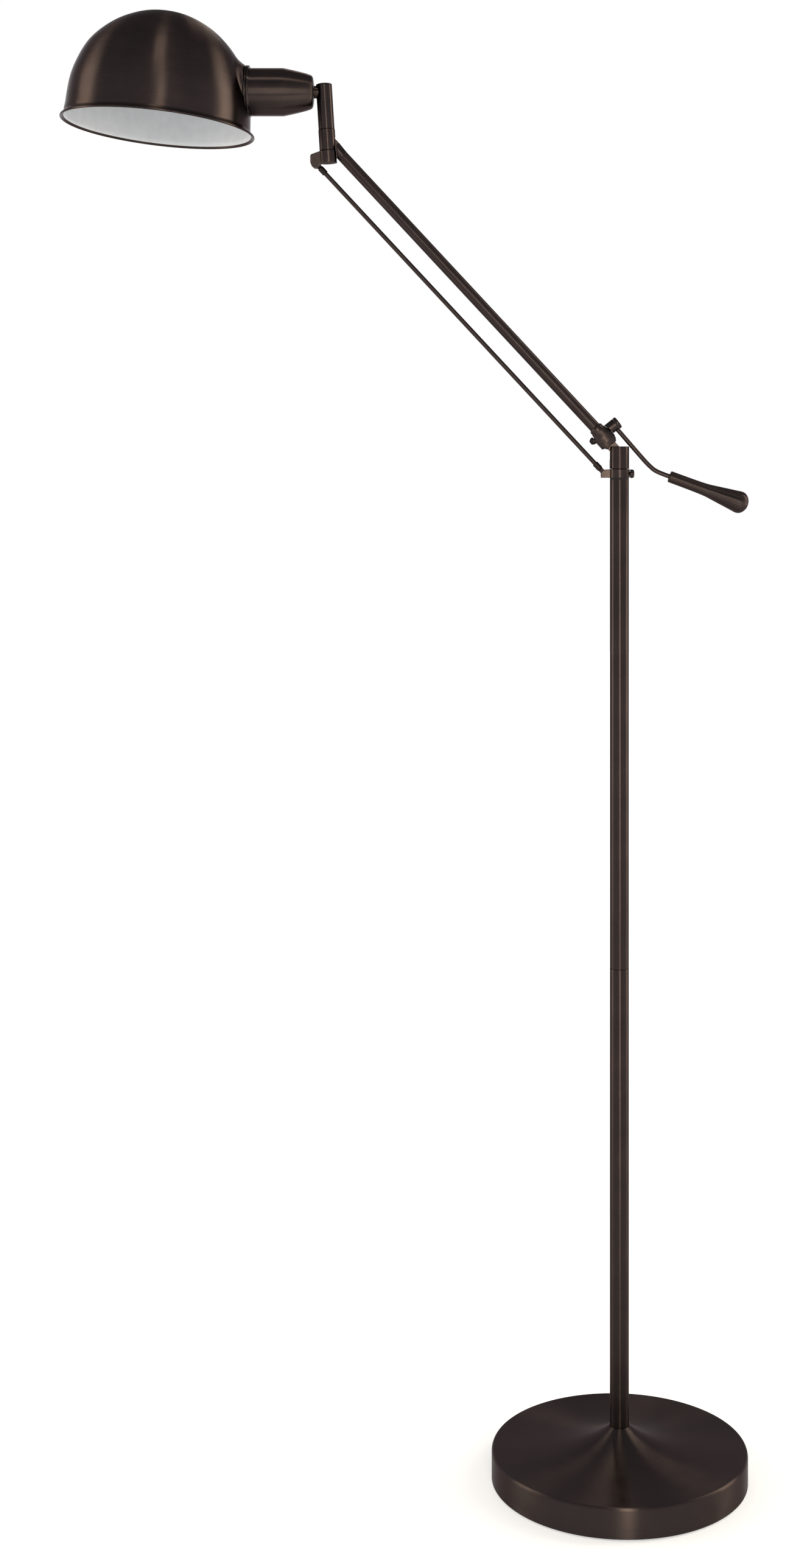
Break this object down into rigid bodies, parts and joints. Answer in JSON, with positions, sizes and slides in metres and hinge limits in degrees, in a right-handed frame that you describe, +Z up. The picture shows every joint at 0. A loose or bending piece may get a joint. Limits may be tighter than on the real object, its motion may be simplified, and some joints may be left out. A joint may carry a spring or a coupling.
{
  "type": "pharmacy floor lamp",
  "caption": "Adjustable floor lamp: round weighted base, slim jointed pole, parallel-link arm with a steering handle, and a domed metal shade on a side swivel.",
  "frame": {"origin": "centre of the base on the floor, on the pole axis", "axes": "+Z up the pole; the arm points to -X at rest, in the plane Y = 0; -Y is the side the handle and shade are seen from"},
  "size_m": [0.6864, 0.2571, 1.4641],
  "materials": {
    "bronze": "dark oil-rubbed bronze plating, finely brushed, satin",
    "shade_metal": "dark oil-rubbed bronze outside, matt pale grey-white paint inside",
    "bronze_dark": "dark bronze, less brushed",
    "zinc_steel": "zinc-plated steel",
    "brass": "bare brass screw shell",
    "iron": "rough cast, painted grey",
    "pad": "black foam pad",
    "nylon": "dark moulded nylon",
    "lead_jacket": "black cable jacket",
    "holder": "black phenolic",
    "bulb_glass": "frosted white glass"
  },
  "bodies": {
    "stand": {"base_pad": "pad", "base_weight": "iron", "base_cover": "bronze", "lead_bush": "nylon", "base_washer": "zinc_steel", "base_nut": "zinc_steel", "foot_nipple": "zinc_steel", "foot_insert": "zinc_steel", "lower_pole": "bronze", "pole_coupler": "zinc_steel", "upper_pole": "bronze", "pole_lead": "lead_jacket", "pole_spigot": "zinc_steel", "swivel_washer": "nylon"},
    "elbow": {"swivel_sleeve": "bronze", "elbow_pin": "zinc_steel", "pole_collar": "bronze", "link_pin_lower": "zinc_steel"},
    "clamp_screw": {"collar_screw": "bronze"},
    "arm": {"arm_tube": "bronze", "arm_knuckle": "bronze", "cross_bolt": "zinc_steel", "cross_nut": "bronze_dark", "lever_boss": "bronze", "boss_cap": "bronze", "arm_tongue_upper": "bronze", "arm_lead": "lead_jacket", "lever_rod": "bronze", "handle_grip": "bronze"},
    "link": {"link_rod": "bronze", "link_end_lower": "bronze_dark", "link_end_upper": "bronze_dark"},
    "head_bracket": {"head_post": "bronze", "head_pin": "bronze_dark", "head_collar": "bronze", "link_pin_upper": "zinc_steel"},
    "stem": {"stem_sleeve": "bronze", "stem_cap": "bronze", "swivel_nipple": "bronze_dark", "nipple_nut": "zinc_steel"},
    "shade_head": {"socket_cup": "bronze", "lampholder": "holder", "bulb_base": "brass", "bulb": "bulb_glass", "shade": "shade_metal", "neck_ring": "bronze"}
  },
  "joints": [
    {"name": "pole_swivel", "type": "hinge", "parent": "stand", "child": "elbow", "pos_m": [0, 0, 0.9985], "axis": [0, 0, 1], "range_deg": [-165, 165]},
    {"name": "clamp_screw_turn", "type": "hinge", "parent": "elbow", "child": "clamp_screw", "pos_m": [0.012, 0, 1.0025], "axis": [1, 0, 0], "range_deg": [0, 360]},
    {"name": "arm_lift", "type": "hinge", "parent": "elbow", "child": "arm", "pos_m": [0, 0, 1.02256], "axis": [0, 1, 0], "range_deg": [-45, 5]},
    {"name": "link_swing", "type": "hinge", "parent": "elbow", "child": "link", "pos_m": [-0.0152, 0, 1.003], "axis": [0, 1, 0], "range_deg": [-45, 5]},
    {"name": "head_level", "type": "hinge", "parent": "arm", "child": "head_bracket", "pos_m": [-0.2873, 0, 1.33152], "axis": [0, 1, 0], "range_deg": [-5, 45]},
    {"name": "head_swivel", "type": "hinge", "parent": "head_bracket", "child": "stem", "pos_m": [-0.29134, 0, 1.33127], "axis": [-0.061, 0, 0.9981], "range_deg": [-120, 120]},
    {"name": "shade_roll", "type": "hinge", "parent": "stem", "child": "shade_head", "pos_m": [-0.32, 0, 1.3834], "axis": [1, 0, 0], "range_deg": [-90, 90]}
  ],
  "couplings": [
    {"joint": "link_swing", "follows": "arm_lift", "ratio": 1},
    {"joint": "head_level", "follows": "arm_lift", "ratio": -1}
  ]
}
